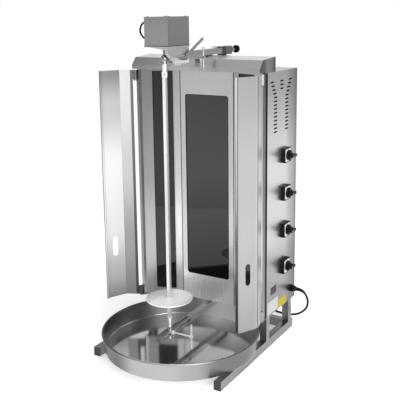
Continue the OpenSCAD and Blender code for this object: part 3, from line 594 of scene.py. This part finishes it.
def disc_steel():
    """Turned meat disc with painted light, brightest at its middle."""
    # painted light: darker towards the sides
    return toned(steel("turned_disc", 0.98, 0.30, EVEN, 0.04, 0.02, 0.03, SPIT_AXIS, 0.30), "X",
                 [(-0.078, 0.56), (-0.045, 0.78), (-0.02, 1.0), (0.02, 1.0), (0.05, 0.94),
                  (0.078, 0.72)])


def smoked_glass():
    """Dark pane that reflects less towards its foot, a painted darker reflection there."""
    mat = moulded("smoked_glass", (0.006, 0.006, 0.007), 0.04, 0.01, 0.10, 0.01, CLOUDY, IOR=1.75)
    tree = mat.node_tree
    leaning_up = (-0.26, 0, 1)
    slant = vector_math(tree, "DOT_PRODUCT", object_place(tree), leaning_up)
    # painted reflection: the pane reflects less below a slanted line
    level = grey_ramp(tree, slant, [(0.248, 0.01), (0.256, 0.22), (0.44, 0.36), (0.62, 0.47),
                                    (0.90, 0.50)])
    tree.links.new(level, shader_of(mat).inputs["Specular IOR Level"])
    return mat


# After its grey or colour and its roughness, a finish may say how much gloss, tone and surface vary
def make_materials():
    """Every finish, under a short name."""
    return {
        "panel": panel_steel(),
        "wing": wing_steel(),
        "left_door": left_door_steel(),
        "right_door": right_door_steel(),
        "side": side_steel(),
        "rear": steel("brushed_rear", 0.58, 0.28, UPRIGHT),
        "under": steel("dull_underside", 0.44, 0.34, ALONG),
        "roof": steel("brushed_roof", 0.60, 0.30, ALONG),
        "hood": hood_steel(),
        "tube": steel("brushed_tube", 0.25, 0.34, ALONG, 0.06, 0.06, 0.08),
        "pan": pan_steel(),
        "box": box_steel(),
        "carriage": steel("brushed_carriage", 0.56, 0.34, ALONG),
        "arm": steel("brushed_arm", 0.54, 0.34, ALONG),
        "bar": steel("brushed_bar", 0.42, 0.25, ALONG),
        "bracket": steel("dull_bracket", 0.16, 0.42, EVEN, 0.06, 0.08, 0.10),
        "spit": spit_steel(),
        "polished": steel("polished_screw", 0.84, 0.20, EVEN, 0.05, 0.04, 0.04, metal=0.45),
        "disc": disc_steel(),
        "bright": steel("plated_screw", 0.34, 0.26, EVEN, 0.05, 0.05, 0.05),
        "dark": steel("dark_metal", 0.12, 0.40, EVEN, 0.08, 0.10, 0.20),
        "lever": steel("plain_lever", 0.26, 0.36, EVEN, 0.06, 0.06, 0.08),
        "heater": steel("oxidised_sheath", 0.10, 0.55, EVEN, 0.10, 0.20, 0.30),
        "black": moulded("black_plastic", (0.004, 0.004, 0.004), 0.42, 0.06, 0.10, 0.12, IOR=1.26),
        "cap": moulded("matt_cap", (0.020, 0.020, 0.020), 0.42, 0.06, 0.10, 0.12),
        "rubber": moulded("cord_rubber", (0.004, 0.004, 0.004), 0.60, 0.06, 0.10, 0.20, IOR=1.26),
        "white": moulded("white_plate", (0.70, 0.71, 0.72), 0.40, 0.05, 0.02, 0.05),
        "label": moulded("pale_label", (0.44, 0.45, 0.46), 0.40, 0.05, 0.02, 0.05),
        "yellow": moulded("yellow_plate", (0.44, 0.33, 0.01), 0.45, 0.05, 0.04, 0.05, IOR=1.3),
        "grey": moulded("grey_plate", (0.035, 0.031, 0.031), 0.45, 0.05, 0.04, 0.05, IOR=1.3),
        "ceramic": moulded("glazed_ceramic", (0.80, 0.77, 0.72), 0.25, 0.05, 0.03, 0.05),
        "glass": smoked_glass(),
        "side_glass": moulded("smoked_side_glass", (0.007, 0.007, 0.008), 0.04, 0.01, 0.10, 0.01,
                              CLOUDY, IOR=1.53),
    }


NODE_FINISH = {
    "panel": ["centre_panel"],
    "rear": ["rear_panel", "heat_shield"],
    "under": ["floor_panel"],
    "wing": ["left_wing_panel", "right_wing_panel"],
    "left_door": ["left_door"],
    "right_door": ["right_door"],
    "side": ["right_side_panel", "left_side_panel"],
    "roof": ["roof_panel"],
    "hood": ["hood"],
    "tube": ["left_stand", "right_stand", "rear_cross_tube"],
    "pan": ["drip_pan"],
    "box": ["motor_box"],
    "carriage": ["carriage"],
    "bracket": ["bar_supports"],
    "lever": ["lock_lever"],
    "arm": ["lower_arm", "lower_bearing"],
    "bar": ["slide_bar", "slide_sleeve"],
    "spit": ["spit_shaft", "spit_head"],
    "disc": ["meat_disc"],
    "polished": ["lower_clamp"],
    "bright": ["drive_bell", "thumb_screw", "clamp_screw", "draw_screw", "panel_screws", "hinge_pins"],
    "dark": ["motor_box_screws", "gear_motor", "output_bearing"],
    "heater": ["upper_heater", "lower_heater", "left_heater", "right_heater"],
    "cap": ["rail_end_caps"],
    "black": ["switch_boxes", "top_knob", "second_knob", "third_knob",
              "bottom_knob", "cable_gland", "mains_plug", "tail_knob"],
    "rubber": ["motor_cable", "cord_tie"],
    "ceramic": ["terminal_block"],
    "glass": ["centre_glass"],
    "side_glass": ["left_glass", "right_glass"],
}


def finish_with(obj, mat):
    """Gives an object one finish."""
    obj.data.materials.clear()
    obj.data.materials.append(mat)


def dress_nodes(finishes):
    """Finishes for the carried solids, smooth where they are round."""
    for finish, names in NODE_FINISH.items():
        for name in names:
            obj = nodes[name]
            finish_with(obj, finishes[finish])
            obj.data.shade_smooth()
            obj.data.set_sharp_from_angle(angle=math.radians(28))


def rounded_rim(width, height, round_r, steps):
    """Flat points round a rectangle with round corners, about its middle."""
    u, v = width / 2 - round_r, height / 2 - round_r
    rim = []
    for x, y, start in ((u, -v, -90), (u, v, 0), (-u, v, 90), (-u, -v, 180)):
        for k in range(steps + 1):
            a = math.radians(start + 90 * k / steps)
            rim.append((x + round_r * math.cos(a), y + round_r * math.sin(a)))
    return rim


def ease_edges(obj, width):
    """Slightly rounds the sharp edges of an object."""
    ease = obj.modifiers.new("edge", "BEVEL")
    ease.width = width
    ease.segments = 2
    ease.limit_method = "ANGLE"


def side_plate(name, x, y, z, width, height, thick, round_r, finish):
    """Thin plate with round corners on the right side; y and z are its middle."""
    rim = rounded_rim(width, height, round_r, steps=4)
    n = len(rim)
    verts = [(x + out, y + u, z + v) for out in (0, thick) for u, v in rim]
    faces = [list(range(n))[::-1], list(range(n, 2 * n))]
    faces += [[i, (i + 1) % n, n + (i + 1) % n, n + i] for i in range(n)]
    mesh = bpy.data.meshes.new(name)
    mesh.from_pydata(verts, [], faces)
    obj = link(name, mesh)
    finish_with(obj, finish)
    return obj


def bead(name, size, round_r, radius, place, finish, sides=10):
    """Closed round bead along a rounded rectangle; place turns its flat points into the frame."""
    loop = [place(u, v) for u, v in rounded_rim(*size, round_r, steps=6)]
    finish_with(tube(name, loop, radius, closed=True, sides=sides), finish)


def make_window_seals(finishes):
    """Dark bead where each pane meets its panel."""
    def on_centre(u, v):
        return Vector((u, CENTRE_Y - 0.0001, CENTRE_WINDOW_Z + v))
    bead("centre_window_seal", CENTRE_WINDOW, round_r=0.0086, radius=0.0009, place=on_centre,
         finish=finishes["rubber"])
    low, high = SIDE_WINDOW_Z
    for side, label in SIDES:
        def on_wing(u, v):
            along = SIDE_WINDOW_ALONG + u
            x = CENTRE_HALF + along * math.cos(WING_ANGLE)
            y = CENTRE_Y - along * math.sin(WING_ANGLE)
            return Vector((side * x, y, (low + high) / 2 + v))
        size = (SIDE_WINDOW_W, high - low - 0.0008)
        bead(label + "_window_seal", size, round_r=0.0012, radius=0.0008, place=on_wing,
             finish=finishes["rubber"])


def strip(name, xs, ys, zs, finish):
    """Thin strip with eased edges between two corners."""
    xs = sorted(xs)
    mesh = bpy.data.meshes.new(name)
    corners = [Vector((x, y, z)) for x in xs for y in ys for z in zs]
    faces = [(0, 1, 3, 2), (4, 6, 7, 5), (0, 4, 5, 1), (2, 3, 7, 6), (0, 2, 6, 4), (1, 5, 7, 3)]
    mesh.from_pydata(corners, [], faces)
    obj = link(name, mesh)
    thinnest = min(high - low for low, high in (xs, ys, zs))
    ease_edges(obj, thinnest * 0.3)
    finish_with(obj, finish)


def make_seam_and_gap_shades(finishes):
    """Black bead where the centre panel meets each wing, a real seam whose darkness is painted shade in
    the gap, and a black strip of painted shade where each post meets its side.
    """
    low, high = PANEL_Z
    for side, label in SIDES:
        seam = [Vector((side * CENTRE_HALF, CENTRE_Y - 0.0003, z)) for z in (low, 0.54, high)]
        finish_with(tube(label + "_panel_seam_shade", seam, radius=0.0011), finishes["rubber"])
        x = side * HALF_W
        # painted shade: black strip for the dark gap by the door
        strip(label + "_post_gap_shade", (x, x - side * SHADE_SHEET_THICK), POST_Y, POST_Z, finishes["rubber"])


def make_vent_shade_sheets(finishes):
    """Black sheet a little behind the cooling slots, painted shade that makes the slots dark."""
    for side, label in SIDES:
        x = side * (HALF_W - SLOT_SHADE_DEPTH)
        strip(label + "_vent_shade_sheet", (x, x - side * SHADE_SHEET_THICK), SLOT_SHADE_Y, SLOT_SHADE_Z, finishes["black"])


def vent_places():
    """Middle of each cooling slot along Y and Z."""
    front, middle, rear = VENT_YS
    places = []
    for i in range(VENT_ROWS):
        lean = max(0, VENT_LEANING - i) * VENT_LEAN
        z = VENT_TOP_Z - i * VENT_PITCH
        places += [(front - lean, z), (rear + lean, z)]
        if i < VENT_SHORT:
            places.append((middle, z))
    return places


def make_vent_shade_rims(finishes):
    """Black rim of painted shade at the pressed edge round each cooling slot."""
    for side, label in SIDES:
        for i, (y, z) in enumerate(vent_places()):
            def on_side(u, v):
                return Vector((side * HALF_W, y + u, z + v))
            name = "%s_vent_shade_rim_%d" % (label, i + 1)
            bead(name, VENT_SIZE, round_r=0.0019, radius=0.0007, place=on_side,
                 finish=finishes["rubber"], sides=6)


def make_box_shade_lines(finishes):
    """Black bead of painted shade in the gap round the foot of the motor box, and a dark line of painted
    shade along the fold at its front corner.
    """
    (x0, x1), (y0, y1), (z0, z1) = BOX_X, BOX_Y, BOX_Z
    foot = [Vector((x, y, z0 + 0.0007)) for x, y in ((x0, y0), (x1, y0), (x1, y1), (x0, y1))]
    foot_shade_points = [a.lerp(b, k / 8) for a, b in zip(foot, foot[1:] + foot[:1]) for k in range(8)]
    foot_shade_bead = tube("box_foot_shade_line", foot_shade_points, radius=0.0011, body="carriage_assembly", closed=True)
    finish_with(foot_shade_bead, finishes["rubber"])
    corner = [Vector((x1, y0, z)) for z in (z0 + 0.002, (z0 + z1) / 2, z1 - 0.0012)]
    corner_shade_line = tube("box_corner_shade_line", corner, radius=0.0007, body="carriage_assembly")
    finish_with(corner_shade_line, finishes["dark"])


def make_switch_faces(finishes):
    """White face on each switch box, with plain ticks for four heat steps."""
    for i, z in enumerate(SWITCH_ZS):
        name = "switch_face_%d" % (i + 1)
        side_plate(name, SWITCH_FACE, SWITCH_Y, z, FACE_SIZE, FACE_SIZE, thick=FACE_THICK,
                   round_r=0.004, finish=finishes["white"])
        for k in range(4):
            a = math.radians(45 + 90 * k)
            way = Vector((0, math.cos(a), math.sin(a)))
            start = Vector((SWITCH_FACE + 0.0003, SWITCH_Y, z)) + way * TICK_START
            points = [start + way * TICK_LONG * part for part in (0, 0.5, 1)]
            tick = tube("%s_tick_%d" % (name, k), points, radius=0.0005)
            finish_with(tick, finishes["black"])


def make_knob_marks(finishes):
    """White pointer line let into each grip."""
    for i, z in enumerate(SWITCH_ZS):
        line = [Vector((KNOB_FACE, SWITCH_Y - inset, z)) for inset in POINTER_INSETS]
        mark = tube("pointer_line_%d" % (i + 1), line, radius=0.0006, body="knob_%d" % (i + 1))
        finish_with(mark, finishes["white"])


def make_labels(finishes):
    """Three bare plates low on the right side; their ends along Y and Z are in millimetres."""
    places = [("small_plate", 85, 129, 186, 214, "grey"),
              ("yellow_plate", 149, 215, 116, 149, "yellow"),
              ("white_plate", 59, 145, 121, 166, "label")]
    for name, y0, y1, z0, z1, finish in places:
        obj = side_plate(name, HALF_W, (y0 + y1) / 2000, (z0 + z1) / 2000, (y1 - y0) / 1000,
                         (z1 - z0) / 1000, thick=0.0005, round_r=0.002, finish=finishes[finish])
        ease_edges(obj, 0.0002)
    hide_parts("blank_labels")


def make_lamps():
    """Large soft lamps in front and above."""
    middle = Vector((0, 0, 0.5))
    lamps = [("key", (0.9, -0.8, 3.4), 2.0, 55), ("fill", (2.6, -1.6, 1.2), 2.0, 50)]
    for name, place, size, power in lamps:
        data = bpy.data.lights.new(name, "AREA")
        data.size = size
        data.energy = power
        lamp = bpy.data.objects.new(name, data)
        bpy.context.scene.collection.objects.link(lamp)
        lamp.location = place
        aim = middle - Vector(place)
        lamp.rotation_euler = aim.to_track_quat("-Z", "Y").to_euler()


# How bright the studio is at each height above or below the horizon, in degrees
FRONT_BANDS = [(-90, 0.60), (-22, 0.70), (-13, 1.10), (-5, 0.75), (2, 0.75), (10, 0.50),
               (18, 0.38), (40, 0.38), (60, 0.80), (90, 1.20)]
REAR_BANDS = [(-90, 0.60), (-22, 1.00), (-13, 1.30), (-8, 0.95), (-5, 0.50), (0, 0.55),
              (10, 0.90), (30, 0.70), (60, 0.80), (90, 1.20)]
REST_BANDS = [(-90, 0.60), (-22, 0.65), (-13, 1.15), (-5, 0.85), (3, 0.90), (12, 1.00),
              (19, 0.75), (26, 0.45), (40, 0.42), (60, 0.60), (90, 1.20)]
FRONT_TURN = -30
REAR_TURN = 150


def bands(tree, height, stops):
    """Brightness by height over the horizon."""
    placed = [((1 + math.sin(math.radians(angle))) / 2, grey) for angle, grey in stops]
    return grey_ramp(tree, height, placed)


def towards(tree, level, turn):
    """How far a level direction points along a compass turn, from 0 to 1."""
    a = math.radians(turn)
    along = vector_math(tree, "DOT_PRODUCT", level, (math.sin(a), -math.cos(a), 0))
    return mapped(tree, along, low=0.2, high=0.8, shape="SMOOTHSTEP")


def blended(tree, factor, first, second):
    """Mix of two colours."""
    mix = tree.nodes.new("ShaderNodeMix")
    mix.data_type = "RGBA"
    first_colour, second_colour, mixed_colour = mix.inputs[6], mix.inputs[7], mix.outputs[2]
    tree.links.new(factor, mix.inputs["Factor"])
    tree.links.new(first, first_colour)
    tree.links.new(second, second_colour)
    return mixed_colour


def make_world():
    """White to the camera; a soft studio of light and dark bands to everything else."""
    world = bpy.data.worlds.new("studio")
    bpy.context.scene.world = world
    world.use_nodes = True
    tree = world.node_tree
    make = tree.nodes.new
    tree.nodes.clear()
    direction = make("ShaderNodeTexCoord").outputs["Generated"]
    height = mapped(tree, part_of(tree, direction, "Z"), -1, 1)
    level = vector_math(tree, "NORMALIZE", vector_math(tree, "MULTIPLY", direction, (1, 1, 0)))
    grey = bands(tree, height, REST_BANDS)
    grey = blended(tree, towards(tree, level, FRONT_TURN), grey, bands(tree, height, FRONT_BANDS))
    grey = blended(tree, towards(tree, level, REAR_TURN), grey, bands(tree, height, REAR_BANDS))
    soft = make("ShaderNodeBackground")
    tree.links.new(grey, soft.inputs["Color"])
    plain = make("ShaderNodeBackground")
    plain.inputs["Color"].default_value = (1, 1, 1, 1)
    mix = make("ShaderNodeMixShader")
    rays = make("ShaderNodeLightPath")
    tree.links.new(rays.outputs["Is Camera Ray"], mix.inputs[0])
    tree.links.new(soft.outputs[0], mix.inputs[1])
    tree.links.new(plain.outputs[0], mix.inputs[2])
    out = make("ShaderNodeOutputWorld")
    tree.links.new(mix.outputs[0], out.inputs["Surface"])


def make_floor():
    """Pale round worktop, just under the rails."""
    reach = 1.6
    mesh = bpy.data.meshes.new("floor")
    turns = [math.radians(a) for a in range(0, 360, 5)]
    rim = [(reach * math.cos(a), reach * math.sin(a), 0) for a in turns]
    mesh.from_pydata(rim, [], [list(range(len(rim)))])
    floor = bpy.data.objects.new("floor", mesh)
    bpy.context.scene.collection.objects.link(floor)
    floor.location.z = -0.0002
    mat = material("pale_floor", (0.90, 0.90, 0.90), 0, 0.9)
    shader = shader_of(mat)
    shader.inputs["Emission Color"].default_value = (1, 1, 1, 1)
    shader.inputs["Emission Strength"].default_value = 0.30
    finish_with(floor, mat)


bpy.context.scene.view_settings.view_transform = "Standard"
make_camera()
lead, boot = make_cords()
finishes = make_materials()
finish_with(lead, finishes["rubber"])
finish_with(boot, finishes["rubber"])
dress_nodes(finishes)
make_window_seals(finishes)
make_seam_and_gap_shades(finishes)
make_vent_shade_sheets(finishes)
make_vent_shade_rims(finishes)
make_box_shade_lines(finishes)
make_switch_faces(finishes)
make_knob_marks(finishes)
make_labels(finishes)
make_lamps()
make_world()
make_floor()
